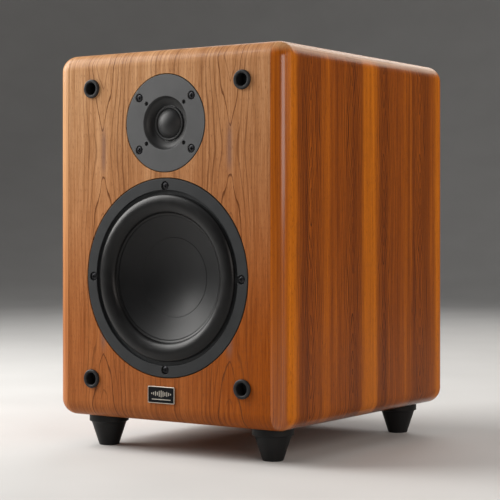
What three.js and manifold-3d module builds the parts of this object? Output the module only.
// Two-way bookshelf loudspeaker with a rear port, on four tapered feet.
// Units are millimetres. X runs to the right seen from the front, Y runs from
// the front face to the back, and Z points up. The origin is the middle of the
// footprint, at the height of the surface that the feet stand on.

import * as THREE from "three";
import { mergeVertices } from "three/addons/utils/BufferGeometryUtils.js";
import { RoundedBoxGeometry } from "three/addons/geometries/RoundedBoxGeometry.js";
import Module from "manifold-3d";

const wasm = await Module();
wasm.setup();

// ---------------------------------------------------------------- dimensions

// Cabinet
const cabinetWidth = 304;
const cabinetDepth = 356;
const cabinetHeight = 400;
const panelThickness = 18;
const edgeRadius = 18;
const footHeight = 35;
const frontFace = -cabinetDepth / 2;
const rearFace = cabinetDepth / 2;
const cabinetBottom = footHeight;
const cabinetTop = footHeight + cabinetHeight;
const innerHalfWidth = cabinetWidth / 2 - panelThickness;
const innerFront = frontFace + panelThickness;
const innerRear = rearFace - panelThickness;
const innerBottom = cabinetBottom + panelThickness;

// Shelf brace between the two drivers
const braceBottom = 287;
const braceThickness = 15;
const braceWindow = { width: 100, depth: 110, x: 64, y: 70 };

// Woofer: nominal 8 inch driver, depths measured back from the baffle's face
const wooferHeight = 190;
const wooferFlangeRadius = 106;
const wooferFlangeThickness = 5;
const wooferGasketThickness = 1.5;
const wooferRebateRadius = 106.5;
const wooferCutoutRadius = 93;
const wooferBasketRadius = 92;
const wooferScrewCircle = 98;
const surroundMiddle = 76.75;
const surroundHalfWidth = 7.25;
const surroundLedge = 2.3;
const surroundInnerFront = 4;
const surroundCrest = -3;
const coneEdge = 70;
const spiderLedge = 41;
const topPlateFront = 52;
const magnetFront = 60;
const magnetRear = 80;
const yokeRear = 88;
const wooferPoleRadius = 18.9;

// Tweeter: 30 mm class dome behind a 104 mm faceplate
const tweeterHeight = 355;
const faceplateRadius = 52;
const faceplateThickness = 4;
const tweeterRebateRadius = 52.5;
const tweeterCutoutRadius = 38.5;
const tweeterScrewX = 34.6;
const tweeterScrewZ = 28;
const tweeterDimpleX = 24.75;
const tweeterDimpleZ = 21.5;
const domeRadius = 15.6;
const domeBase = 8;
const domeApex = 0.5;

// Grille sockets
const socketX = 100;
const socketHeights = { upper: 396, lower: 77.5 };
const socketRing = { radius: 10.25, proud: 3 };
const socketBodyRadius = 8.4;
const socketBodyDepth = 15;
const socketBoreRadius = 6.75;
const socketBoreDepth = 13;
const socketHoleRadius = 8.6;

// Badge
const badge = { x: -4, z: 65.3, width: 35.5, height: 18, border: 1.2, frame: 1.6, plate: 1.1 };

// Port
const portHeight = 350;
const portBore = 34;
const portTubeRadius = 37;
const portLength = 130;
const portBodyRadius = 45.5;
const portHoleRadius = 46;
const portFlangeRadius = 56;
const rearFlangeThickness = 3;

// Terminal cup and binding posts
const terminalHeight = 110;
const cup = { width: 100, height: 80, corner: 8 };
const cupRecess = { width: 66, height: 44, depth: 24, corner: 5 };
const cupWall = 2.5;
const cupClearance = 1;
const postPitch = 19;
const stud = { radius: 3, bore: 2.05, boreDepth: 17, innerEnd: 144, outerEnd: 175.5 };
const washer = { radius: 6.5, bore: 3.3, thickness: 2 };
const knob = { radius: 7, bore: 3.3, length: 13 };
const postGap = 0.3;

// Feet
const footX = 110;
const footY = 136;
const foot = { tip: 11, neck: 19.5, collar: 22, collarBottom: 26 };
const footBore = { counterbore: 5.5, counterboreDepth: 22, hole: 2.6 };

// Crossover
const board = { x: 0, y: 40, width: 140, depth: 90, thickness: 1.6, spacer: 8 };
const boardTop = innerBottom + board.spacer + board.thickness;

// Acoustic damping pads on the side walls
const damping = { thickness: 20, depth: 250, height: 200, y: 25, bottom: 70 };

// Facets round a full turn
const coarse = 12;
const medium = 16;
const fine = 28;

// ------------------------------------------------------------------ finishes

const finishes = {
  veneer: { color: 0xa8683a, roughness: 0.42, metalness: 0 },
  fibreboard: { color: 0xa98b62, roughness: 0.85, metalness: 0 },
  castFrame: { color: 0x3a3c3f, roughness: 0.55, metalness: 0.2 },
  faceplate: { color: 0x58595b, roughness: 0.6, metalness: 0.1 },
  rubber: { color: 0x1c1c1e, roughness: 0.6, metalness: 0 },
  cone: { color: 0x37383b, roughness: 0.45, metalness: 0 },
  silk: { color: 0x2a2b2e, roughness: 0.5, metalness: 0 },
  spider: { color: 0xb08a3c, roughness: 0.9, metalness: 0 },
  copper: { color: 0xb87333, roughness: 0.35, metalness: 1 },
  steel: { color: 0x9a9ca0, roughness: 0.4, metalness: 1 },
  blackSteel: { color: 0x2c2d30, roughness: 0.5, metalness: 0.6 },
  ferrite: { color: 0x303034, roughness: 0.7, metalness: 0 },
  blackPlastic: { color: 0x18191b, roughness: 0.5, metalness: 0 },
  brass: { color: 0xc9a24b, roughness: 0.3, metalness: 1 },
  redPlastic: { color: 0xa01818, roughness: 0.4, metalness: 0 },
  silver: { color: 0xc4c2bc, roughness: 0.3, metalness: 1 },
  circuitBoard: { color: 0x2f5a3a, roughness: 0.6, metalness: 0 },
  film: { color: 0xd8b23a, roughness: 0.5, metalness: 0 },
  felt: { color: 0x8f9094, roughness: 1, metalness: 0 },
  redWire: { color: 0x8c1c1c, roughness: 0.5, metalness: 0 },
};

function part(name, geometry, finish, x = 0, y = 0, z = 0) {
  const mesh = new THREE.Mesh(geometry, new THREE.MeshStandardMaterial(finishes[finish]));
  mesh.name = name;
  mesh.position.set(x, y, z);
  return mesh;
}

// ----------------------------------------------------------------- geometry

const point = (r, y) => new THREE.Vector2(r, y);
const outline = (pairs) => pairs.map(([r, y]) => point(r, y));

// Solid of revolution about Y. An outline that doesn't lie on the axis is closed into a ring.
function turned(points, segments) {
  const onAxis = points[0].x === 0 && points.at(-1).x === 0;
  const profile = onAxis ? [...points] : [...points, points[0].clone()];
  const area = profile.reduce((sum, p, i) => {
    const q = profile[(i + 1) % profile.length];
    return sum + p.x * q.y - q.x * p.y;
  }, 0);
  return new THREE.LatheGeometry(area < 0 ? profile.reverse() : profile, segments);
}

// Points along an elliptical arc in the (radius, depth) plane, angles in degrees
function arc(centre, radii, from, to, steps) {
  const points = [];
  for (let i = 0; i <= steps; i += 1) {
    const angle = THREE.MathUtils.degToRad(from + ((to - from) * i) / steps);
    points.push(point(centre[0] + radii[0] * Math.cos(angle), centre[1] + radii[1] * Math.sin(angle)));
  }
  return points;
}

function rod(radius, fromY, toY, x = 0, z = 0, segments = coarse) {
  const geometry = new THREE.CylinderGeometry(radius, radius, toY - fromY, segments);
  return geometry.translate(x, (fromY + toY) / 2, z);
}

function box(xs, ys, zs) {
  const geometry = new THREE.BoxGeometry(xs[1] - xs[0], ys[1] - ys[0], zs[1] - zs[0]);
  return geometry.translate((xs[0] + xs[1]) / 2, (ys[0] + ys[1]) / 2, (zs[0] + zs[1]) / 2);
}

// Rounded rectangle in the XZ plane, centred on the Y axis and extruded along Y
function plate(width, height, corner, fromY, toY) {
  const shape = new THREE.Shape();
  const [w, h] = [width / 2 - corner, height / 2 - corner];
  shape.absarc(w, h, corner, 0, Math.PI / 2);
  shape.absarc(-w, h, corner, Math.PI / 2, Math.PI);
  shape.absarc(-w, -h, corner, Math.PI, 1.5 * Math.PI);
  shape.absarc(w, -h, corner, 1.5 * Math.PI, 2 * Math.PI);
  const options = { depth: toY - fromY, bevelEnabled: false, curveSegments: 2 };
  return new THREE.ExtrudeGeometry(shape, options).rotateX(-Math.PI / 2).translate(0, fromY, 0);
}

function toSolid(geometry) {
  const bare = geometry.clone();
  bare.deleteAttribute("normal");
  bare.deleteAttribute("uv");
  const merged = mergeVertices(bare, 1e-4);
  const corners = merged.index.array;
  const triangles = [];
  for (let i = 0; i < corners.length; i += 3) {
    const [a, b, c] = [corners[i], corners[i + 1], corners[i + 2]];
    if (a !== b && b !== c && c !== a) triangles.push(a, b, c);
  }
  return new wasm.Manifold(new wasm.Mesh({
    numProp: 3,
    vertProperties: new Float32Array(merged.attributes.position.array),
    triVerts: new Uint32Array(triangles),
  }));
}

function toGeometry(solid) {
  const mesh = solid.getMesh();
  const geometry = new THREE.BufferGeometry();
  geometry.setAttribute("position", new THREE.BufferAttribute(mesh.vertProperties, 3));
  geometry.setIndex(new THREE.BufferAttribute(mesh.triVerts, 1));
  geometry.computeVertexNormals();
  return geometry;
}

const combine = (action) => (base, tools) =>
  toGeometry(tools.reduce((solid, tool) => solid[action](toSolid(tool)), toSolid(base)));
const cut = combine("subtract");
const join = combine("add");
const common = combine("intersect");

// ------------------------------------------------------------------ cabinet

const socketPlaces = [
  ["upper_left", -socketX, socketHeights.upper],
  ["upper_right", socketX, socketHeights.upper],
  ["lower_left", -socketX, socketHeights.lower],
  ["lower_right", socketX, socketHeights.lower],
];

const wooferScrewPlaces = [
  ["top", 0, wooferScrewCircle],
  ["right", wooferScrewCircle, 0],
  ["bottom", 0, -wooferScrewCircle],
  ["left", -wooferScrewCircle, 0],
];

const tweeterScrewPlaces = [
  ["upper_left", -tweeterScrewX, tweeterScrewZ],
  ["upper_right", tweeterScrewX, tweeterScrewZ],
  ["lower_left", -tweeterScrewX, -tweeterScrewZ],
  ["lower_right", tweeterScrewX, -tweeterScrewZ],
];

const cabinetBlock = new RoundedBoxGeometry(cabinetWidth, cabinetDepth, cabinetHeight, 3, edgeRadius)
  .translate(0, 0, cabinetBottom + cabinetHeight / 2);

// The part of the rounded cabinet block that lies inside a region
const panel = (xs, ys, zs) => common(cabinetBlock, [box(xs, ys, zs)]);

function frontBaffle() {
  const sides = [-innerHalfWidth, innerHalfWidth];
  const blank = panel(sides, [frontFace, innerFront], [cabinetBottom, cabinetTop]);
  const behind = innerFront + 1;
  const ahead = frontFace - 1;
  const wooferFloor = frontFace + wooferFlangeThickness + wooferGasketThickness;
  const tweeterFloor = frontFace + faceplateThickness;
  const socketHoleEnd = frontFace + socketBodyDepth + 1;
  const pilots = [
    ...wooferScrewPlaces.map(([, x, z]) => rod(2.2, ahead, innerFront - 1, x, wooferHeight + z, 8)),
    ...tweeterScrewPlaces.map(([, x, z]) => rod(1.9, ahead, innerFront - 3, x, tweeterHeight + z, 8)),
  ];
  return cut(blank, [
    rod(wooferRebateRadius, ahead, wooferFloor, 0, wooferHeight, fine),
    rod(wooferCutoutRadius, ahead, behind, 0, wooferHeight, fine),
    rod(tweeterRebateRadius, ahead, tweeterFloor, 0, tweeterHeight, fine),
    rod(tweeterCutoutRadius, ahead, behind, 0, tweeterHeight, fine),
    ...socketPlaces.map(([, x, z]) => rod(socketHoleRadius, ahead, socketHoleEnd, x, z, 16)),
    ...pilots,
  ]);
}

function rearPanel() {
  const blank = panel([-innerHalfWidth, innerHalfWidth], [innerRear, rearFace], [cabinetBottom, cabinetTop]);
  const cupHole = plate(
    cupRecess.width + 2 * cupWall + cupClearance,
    cupRecess.height + 2 * cupWall + cupClearance,
    cupRecess.corner + cupWall,
    innerRear - 1,
    rearFace + 1,
  ).translate(0, 0, terminalHeight);
  return cut(blank, [rod(portHoleRadius, innerRear - 1, rearFace + 1, 0, portHeight, fine), cupHole]);
}

function shelfBrace() {
  const { width, depth, x, y } = braceWindow;
  const top = braceBottom + braceThickness;
  const windows = [-1, 1].flatMap((sideX) => [-1, 1].map((sideY) => box(
    [sideX * x - width / 2, sideX * x + width / 2],
    [sideY * y - depth / 2, sideY * y + depth / 2],
    [braceBottom - 1, top + 1],
  )));
  return cut(box([-innerHalfWidth, innerHalfWidth], [innerFront, innerRear], [braceBottom, top]), windows);
}

function cabinet() {
  const group = new THREE.Group();
  const outerX = cabinetWidth / 2;
  const fullY = [frontFace, rearFace];
  const fullZ = [cabinetBottom, cabinetTop];
  const betweenX = [-innerHalfWidth, innerHalfWidth];
  const betweenY = [innerFront, innerRear];
  const padZ = [damping.bottom, damping.bottom + damping.height];
  const padY = [damping.y - damping.depth / 2, damping.y + damping.depth / 2];
  const padInner = innerHalfWidth - damping.thickness;
  group.add(
    part("front_baffle", frontBaffle(), "veneer"),
    part("rear_panel", rearPanel(), "veneer"),
    part("side_panel_left", panel([-outerX, -innerHalfWidth], fullY, fullZ), "veneer"),
    part("side_panel_right", panel([innerHalfWidth, outerX], fullY, fullZ), "veneer"),
    part("top_panel", panel(betweenX, betweenY, [cabinetTop - panelThickness, cabinetTop]), "veneer"),
    part("bottom_panel", panel(betweenX, betweenY, [cabinetBottom, innerBottom]), "veneer"),
    part("shelf_brace", shelfBrace(), "fibreboard"),
    part("damping_pad_left", box([-innerHalfWidth, -padInner], padY, padZ), "felt"),
    part("damping_pad_right", box([padInner, innerHalfWidth], padY, padZ), "felt"),
  );
  return group;
}

// ---------------------------------------------------- grille sockets, badge

// Blind rubber cup pressed into the baffle, with a raised ring round its mouth
function grilleSocket() {
  const { radius, proud } = socketRing;
  return turned(outline([
    [0, socketBodyDepth],
    [socketBodyRadius, socketBodyDepth],
    [socketBodyRadius, 0],
    [radius, 0],
    [radius, 1 - proud],
    [radius - 1, -proud],
    [socketBoreRadius, -proud],
    [socketBoreRadius, socketBoreDepth - proud],
    [0, socketBoreDepth - proud],
  ]), 16);
}

function frontTrim() {
  const group = new THREE.Group();
  for (const [place, x, z] of socketPlaces) {
    group.add(part(`grille_socket_${place}`, grilleSocket(), "rubber", x, frontFace, z));
  }
  const innerWidth = badge.width - 2 * badge.border;
  const innerHeight = badge.height - 2 * badge.border;
  const frame = cut(plate(badge.width, badge.height, 1.5, -badge.frame, 0), [
    plate(innerWidth, innerHeight, 0.6, -badge.frame - 1, 1),
  ]);
  const gap = 0.6;
  const face = plate(innerWidth - gap, innerHeight - gap, 0.5, -badge.plate, 0);
  group.add(
    part("badge_frame", frame, "silver", badge.x, frontFace, badge.z),
    part("badge_plate", face, "blackPlastic", badge.x, frontFace, badge.z),
  );
  return group;
}

// ------------------------------------------------------------------- screws

// Pan-head screw along Y with a cross recess; its head's underside is at the given depth
function screw(headRadius, headHeight, seat, shankRadius, tip) {
  const front = seat - headHeight;
  const body = turned(outline([
    [0, front],
    [headRadius * 0.7, front + 0.15],
    [headRadius, front + headHeight * 0.45],
    [headRadius, seat],
    [shankRadius, seat],
    [shankRadius, tip - 2],
    [0, tip],
  ]), 10);
  const arm = headRadius * 0.58;
  const slot = 0.55;
  const recess = [front - 1, front + 1.4];
  return cut(body, [box([-arm, arm], recess, [-slot, slot]), box([-slot, slot], recess, [-arm, arm])]);
}

// ------------------------------------------------------------------- woofer

function wooferBasket() {
  const body = turned(outline([
    [91, 0],
    [wooferFlangeRadius - 1, 0],
    [wooferFlangeRadius, 1],
    [wooferFlangeRadius, wooferFlangeThickness],
    [wooferBasketRadius, wooferFlangeThickness],
    [wooferBasketRadius, 10],
    [62, 44],
    [60, topPlateFront],
    [24, topPlateFront],
    [24, topPlateFront - 2.5],
    [50, topPlateFront - 2.5],
    [50, spiderLedge],
    [60, spiderLedge],
    [88, 10.5],
    [88, wooferFlangeThickness + 2],
    [84, wooferFlangeThickness + 2],
    [84, surroundLedge],
    [91, surroundLedge],
  ]), fine);
  const windows = [0, 1, 2, 3, 4, 5].map((i) => {
    const angle = THREE.MathUtils.degToRad(60 * i);
    return box([50, 110], [14, 37], [-25, 25]).rotateY(angle);
  });
  const holes = wooferScrewPlaces.flatMap(([, x, z]) => [
    rod(4.9, -1, 2.6, x, z),
    rod(2.6, -1, wooferFlangeThickness + 1, x, z, 8),
  ]);
  return cut(body, [...windows, ...holes]);
}

function wooferGasket() {
  const from = wooferFlangeThickness;
  const to = from + wooferGasketThickness;
  const ring = turned(outline([[93, from], [105, from], [105, to], [93, to]]), fine);
  return cut(ring, wooferScrewPlaces.map(([, x, z]) => rod(2.6, from - 1, to + 1, x, z, 8)));
}

// Half-roll edge: its outer landing lies on the basket's ledge, and its inner one, further back, on the cone
function wooferSurround() {
  const thickness = 1;
  const outerFront = surroundLedge - thickness;
  const innerFront = surroundInnerFront;
  const quarter = (behind, foot, start, end) => {
    const centre = [surroundMiddle, foot + behind];
    return arc(centre, [surroundHalfWidth - behind, surroundCrest - foot], start, end, 3);
  };
  return turned([
    point(89, outerFront),
    ...quarter(0, outerFront, 0, 90),
    ...quarter(0, innerFront, 90, 180).slice(1),
    point(66, innerFront),
    point(66, innerFront + thickness),
    ...quarter(thickness, innerFront, 180, 90),
    ...quarter(thickness, outerFront, 90, 0).slice(1),
    point(89, surroundLedge),
  ], fine);
}

function wooferCone() {
  return turned(outline([
    [coneEdge, 5.3],
    [66, 5.9],
    [60, 9],
    [52, 12.8],
    [43.5, 16.2],
    [32, 24],
    [20.4, 33],
    [20.4, 34.6],
    [32.3, 25.4],
    [44, 17.6],
    [52.5, 14.1],
    [60.5, 10.3],
    [66.3, 7.1],
    [coneEdge, 6.5],
  ]), fine);
}

// Concave cap that closes the middle of the cone
function wooferDustCap() {
  return turned(outline([
    [0, 25],
    [15, 23.7],
    [30, 20.2],
    [42, 15.7],
    [42, 16.6],
    [30, 21.2],
    [15, 24.7],
    [0, 26],
  ]), medium);
}

function wooferVoiceCoil() {
  return turned(outline([
    [19.3, 33],
    [19.9, 33],
    [19.9, 47],
    [20.8, 47],
    [20.8, 61],
    [19.9, 61],
    [19.9, 62],
    [19.3, 62],
  ]), medium);
}

// Corrugated centring disc between the coil former and the basket's ledge
function wooferSpider() {
  const [inner, outer, thickness, waves] = [20.3, 58, 0.8, 4];
  const [from, to] = [24, 51];
  const steps = waves * 2;
  const wave = (offset) => Array.from({ length: steps + 1 }, (_, i) => {
    const rise = i === 0 || i === steps ? 0 : (i % 2 ? -1.4 : 1.4);
    return point(from + ((to - from) * i) / steps, spiderLedge - thickness + rise + offset);
  });
  return turned([
    point(inner, spiderLedge - thickness),
    ...wave(0),
    point(outer, spiderLedge - thickness),
    point(outer, spiderLedge),
    ...wave(thickness).reverse(),
    point(inner, spiderLedge),
  ], medium);
}

const ringBetween = (inner, outer, from, to, segments) =>
  turned(outline([[inner, from], [outer, from], [outer, to], [inner, to]]), segments);

function wooferYoke() {
  const ventRadius = 6;
  const poleFront = 50;
  return turned(outline([
    [ventRadius, poleFront],
    [wooferPoleRadius, poleFront],
    [wooferPoleRadius, magnetRear],
    [55, magnetRear],
    [55, yokeRear],
    [ventRadius, yokeRear],
  ]), medium);
}

function woofer() {
  const group = new THREE.Group();
  group.position.set(0, frontFace, wooferHeight);
  group.add(
    part("woofer_basket", wooferBasket(), "castFrame"),
    part("woofer_gasket", wooferGasket(), "rubber"),
    part("woofer_surround", wooferSurround(), "rubber"),
    part("woofer_cone", wooferCone(), "cone"),
    part("woofer_dust_cap", wooferDustCap(), "cone"),
    part("woofer_voice_coil", wooferVoiceCoil(), "copper"),
    part("woofer_spider", wooferSpider(), "spider"),
    part("woofer_top_plate", ringBetween(21.2, 55, topPlateFront, magnetFront, medium), "steel"),
    part("woofer_magnet", ringBetween(32, 62, magnetFront, magnetRear, medium), "ferrite"),
    part("woofer_yoke", wooferYoke(), "steel"),
  );
  for (const [place, x, z] of wooferScrewPlaces) {
    const shape = screw(4.35, 2.2, 2.6, 1.9, panelThickness - 2);
    group.add(part(`woofer_screw_${place}`, shape, "blackSteel", x, 0, z));
  }
  return group;
}

// ------------------------------------------------------------------ tweeter

// Round faceplate with a shallow flare that leads down to the dome
function tweeterFaceplate() {
  const flare = arc([28, domeBase], [8.7, -domeBase], 180, 90, 4);
  const body = turned([
    ...flare,
    point(faceplateRadius - 0.6, 0),
    point(faceplateRadius, 0.6),
    point(faceplateRadius, faceplateThickness),
    point(37.5, faceplateThickness),
    point(37.5, 8.8),
    point(19.3, 8.8),
  ], fine);
  const holes = tweeterScrewPlaces.flatMap(([, x, z]) => [
    rod(4.7, -1, 2, x, z),
    rod(2.2, -1, faceplateThickness + 1, x, z, 8),
  ]);
  const dimples = [-1, 1].flatMap((sideX) => [-1, 1].map((sideZ) =>
    rod(2.25, -1, 2.5, sideX * tweeterDimpleX, sideZ * tweeterDimpleZ, 10)));
  return cut(body, [...holes, ...dimples]);
}

// Small half roll between the dome and its clamped outer landing
function tweeterSuspension() {
  const [front, back] = [domeBase, domeBase + 0.5];
  return turned([
    point(19, front),
    ...arc([17.4, front], [1.2, -1.2], 0, 180, 4),
    point(domeRadius + 0.3, front),
    point(domeRadius + 0.3, back),
    ...arc([17.4, back], [0.8, -1.2], 180, 0, 4),
    point(19, back),
  ], medium);
}

function tweeterDome() {
  const rise = domeBase - domeApex;
  const curvature = (domeRadius ** 2 + rise ** 2) / (2 * rise);
  const centre = domeApex + curvature;
  const thickness = 0.5;
  const shell = (radius) => {
    const steps = 5;
    const edgeAngle = Math.asin((centre - domeBase) / radius);
    const degrees = THREE.MathUtils.radToDeg(edgeAngle);
    return arc([0, centre], [radius, -radius], 90, degrees, steps);
  };
  const outer = shell(curvature);
  const inner = shell(curvature - thickness).reverse();
  outer[0].x = 0;
  inner.at(-1).x = 0;
  return turned([...outer, ...inner], medium);
}

function tweeterYoke() {
  return turned(outline([
    [0, 10],
    [14.3, 10],
    [14.3, 25],
    [33, 25],
    [33, 29],
    [0, 29],
  ]), medium);
}

function tweeterRearChamber() {
  return turned(outline([
    [0, 45],
    [30, 45],
    [30, 29],
    [28, 29],
    [28, 43],
    [0, 43],
  ]), medium);
}

function tweeter() {
  const group = new THREE.Group();
  group.position.set(0, frontFace, tweeterHeight);
  group.add(
    part("tweeter_faceplate", tweeterFaceplate(), "faceplate"),
    part("tweeter_suspension", tweeterSuspension(), "silk"),
    part("tweeter_dome", tweeterDome(), "silk"),
    part("tweeter_voice_coil", ringBetween(15, domeRadius, 8.9, 16, medium), "copper"),
    part("tweeter_top_plate", ringBetween(16.3, 36, 9, 13, medium), "steel"),
    part("tweeter_magnet", ringBetween(22, 35, 13, 25, medium), "ferrite"),
    part("tweeter_yoke", tweeterYoke(), "steel"),
    part("tweeter_rear_chamber", tweeterRearChamber(), "blackPlastic"),
  );
  for (const [place, x, z] of tweeterScrewPlaces) {
    const shape = screw(4.3, 1.8, 2, 1.6, panelThickness - 4);
    group.add(part(`tweeter_screw_${place}`, shape, "blackSteel", x, 0, z));
  }
  return group;
}

// --------------------------------------------------------------------- rear

// Flared port: flange on the panel, flare down to the bore, tube into the cabinet
function portTube() {
  const mouth = rearFace + rearFlangeThickness;
  const flareDepth = 15;
  const flareRise = 11;
  const innerEnd = rearFace - portLength;
  return turned([
    point(portBore, innerEnd),
    ...arc([portBore + flareRise, mouth - flareDepth], [flareRise, flareDepth], 180, 90, 4),
    point(portFlangeRadius - 1, mouth),
    point(portFlangeRadius, mouth - 1),
    point(portFlangeRadius, rearFace),
    point(portBodyRadius, rearFace),
    point(portBodyRadius, innerRear),
    point(portTubeRadius, innerRear - 6),
    point(portTubeRadius, innerEnd),
  ], fine);
}

// Recessed dish that carries the two binding posts
function terminalCup() {
  const mouth = rearFace + rearFlangeThickness;
  const floorFace = mouth - cupRecess.depth;
  const bodyWidth = cupRecess.width + 2 * cupWall;
  const bodyHeight = cupRecess.height + 2 * cupWall;
  const flange = plate(cup.width, cup.height, cup.corner, rearFace, mouth);
  const body = plate(bodyWidth, bodyHeight, cupRecess.corner + cupWall, floorFace - cupWall, rearFace + 1);
  const recess = plate(cupRecess.width, cupRecess.height, cupRecess.corner, floorFace, mouth + 1);
  const whole = join(flange, [body]);
  const holes = [-1, 1].map((side) =>
    rod(stud.radius + postGap, floorFace - cupWall - 1, floorFace + 1, (side * postPitch) / 2, 0));
  return cut(whole, [recess, ...holes]);
}

// Threaded stud with a plug bore in its outer end
function postStud() {
  const boreFloor = stud.outerEnd - stud.boreDepth;
  return turned(outline([
    [0, stud.innerEnd],
    [stud.radius, stud.innerEnd],
    [stud.radius, stud.outerEnd],
    [stud.bore, stud.outerEnd],
    [stud.bore, boreFloor],
    [0, boreFloor],
  ]), coarse);
}

// Clamping knob, knurled by eight shallow grooves
function postKnob(from) {
  const to = from + knob.length;
  const body = turned(outline([
    [knob.bore, from],
    [knob.radius, from],
    [knob.radius, to - 1],
    [knob.radius - 1, to],
    [knob.bore, to],
  ]), 16);
  const grooves = Array.from({ length: 8 }, (_, i) => {
    const angle = (Math.PI / 4) * i;
    const reach = knob.radius + 0.3;
    return rod(0.8, from + 1.5, to + 1, reach * Math.cos(angle), reach * Math.sin(angle), 6);
  });
  return cut(body, grooves);
}

function rearFittings() {
  const group = new THREE.Group();
  group.add(part("port_tube", portTube(), "blackPlastic", 0, 0, portHeight));
  group.add(part("terminal_cup", terminalCup(), "blackPlastic", 0, 0, terminalHeight));
  const floorFace = rearFace + rearFlangeThickness - cupRecess.depth;
  const washerFrom = floorFace + postGap;
  const knobFrom = washerFrom + washer.thickness + postGap;
  for (const [colour, x] of [["red", -postPitch / 2], ["black", postPitch / 2]]) {
    const ring = ringBetween(washer.bore, washer.radius, washerFrom, washerFrom + washer.thickness, coarse);
    group.add(
      part(`post_stud_${colour}`, postStud(), "brass", x, 0, terminalHeight),
      part(`post_washer_${colour}`, ring, "brass", x, 0, terminalHeight),
      part(`post_knob_${colour}`, postKnob(knobFrom), `${colour}Plastic`, x, 0, terminalHeight),
    );
  }
  return group;
}

// --------------------------------------------------------------------- feet

// Tapered rubber foot with a collar at the top and a counterbored screw hole
function footShape() {
  return turned(outline([
    [foot.tip - 1, 0],
    [foot.tip, 1],
    [foot.neck, foot.collarBottom],
    [foot.collar, foot.collarBottom + 1.5],
    [foot.collar, footHeight - 1],
    [foot.collar - 1, footHeight],
    [footBore.hole, footHeight],
    [footBore.hole, footBore.counterboreDepth],
    [footBore.counterbore, footBore.counterboreDepth],
    [footBore.counterbore, 0],
  ]), 16);
}

function feet() {
  const group = new THREE.Group();
  for (const [side, x] of [["left", -footX], ["right", footX]]) {
    for (const [end, y] of [["front", -footY], ["rear", footY]]) {
      const mesh = part(`foot_${end}_${side}`, footShape(), "rubber", x, y, 0);
      mesh.rotation.x = Math.PI / 2;
      group.add(mesh);
    }
  }
  return group;
}

// ---------------------------------------------------------------- crossover

// Circuit board with four bonded spacers under its corners
function crossoverBoard() {
  const xs = [board.x - board.width / 2, board.x + board.width / 2];
  const ys = [board.y - board.depth / 2, board.y + board.depth / 2];
  const boardBottom = boardTop - board.thickness;
  const inset = 10;
  const half = 4;
  const spacers = [xs[0] + inset, xs[1] - inset].flatMap((x) => [ys[0] + inset, ys[1] - inset].map((y) =>
    box([x - half, x + half], [y - half, y + half], [innerBottom, boardBottom + 0.5])));
  return join(box(xs, ys, [boardBottom, boardTop]), spacers);
}

// Wound coil standing on the board, axis upright
const coil = (inner, outer, height) => ringBetween(inner, outer, 0, height, medium).rotateX(Math.PI / 2);

function crossover() {
  const group = new THREE.Group();
  const capacitorRadius = 11;
  const capacitorHeight = boardTop + capacitorRadius + 0.3;
  const capacitor = rod(capacitorRadius, board.y - 24, board.y + 24, 0, 0, 16);
  group.add(
    part("crossover_board", crossoverBoard(), "circuitBoard"),
    part("crossover_inductor_large", coil(9, 23, 24), "copper", -42, board.y, boardTop),
    part("crossover_inductor_small", coil(6, 14, 14), "copper", 48, board.y - 22, boardTop),
    part("crossover_capacitor", capacitor, "film", 5, 0, capacitorHeight),
  );
  return group;
}

// Two-core lead along a smooth curve through its points
function lead(points, radius, steps) {
  const path = new THREE.CatmullRomCurve3(points.map((p) => new THREE.Vector3(...p)));
  const section = new THREE.Shape();
  section.absarc(0, 0, radius, 0, 2 * Math.PI);
  return new THREE.ExtrudeGeometry(section, { steps, curveSegments: 4, extrudePath: path });
}

const leadRadius = 2;

const leadRoutes = {
  // from the posts, down behind the cup, to the rear edge of the board
  input_lead: [
    [0, 141, 112], [0, 134, 104], [2, 124, 84], [4, 108, 70], [6, 96, 65], [6, 86.5, 65],
  ],
  // from the board's front edge up to the outer wall of the woofer's basket
  woofer_lead: [
    [-30, -6.5, 65], [-32, -20, 66], [-42, -44, 78], [-58, -76, 100], [-66, -104, 128],
    [-63, -121, 152], [-57.5, -128, 162],
  ],
  // from the board's front edge, up beside the brace window's edge, to the back of the tweeter
  tweeter_lead: [
    [30, -6.5, 65], [35, -19, 66], [62, -36, 78], [98, -52, 112], [108, -62, 160], [108, -66, 210],
    [108, -66, 270], [106, -66, 310], [84, -78, 338], [38, -98, 352], [8, -110, 355],
    [0.6, -121, 355], [0, -132.4, 355],
  ],
};

function leads() {
  const group = new THREE.Group();
  const stepsFor = (points) => points.length * 2;
  for (const [name, points] of Object.entries(leadRoutes)) {
    group.add(part(name, lead(points, leadRadius, stepsFor(points)), "redWire"));
  }
  return group;
}

// ------------------------------------------------------------------- object

const speaker = new THREE.Group();
speaker.add(cabinet(), frontTrim(), woofer(), tweeter(), rearFittings(), feet(), crossover(), leads());

export default speaker;
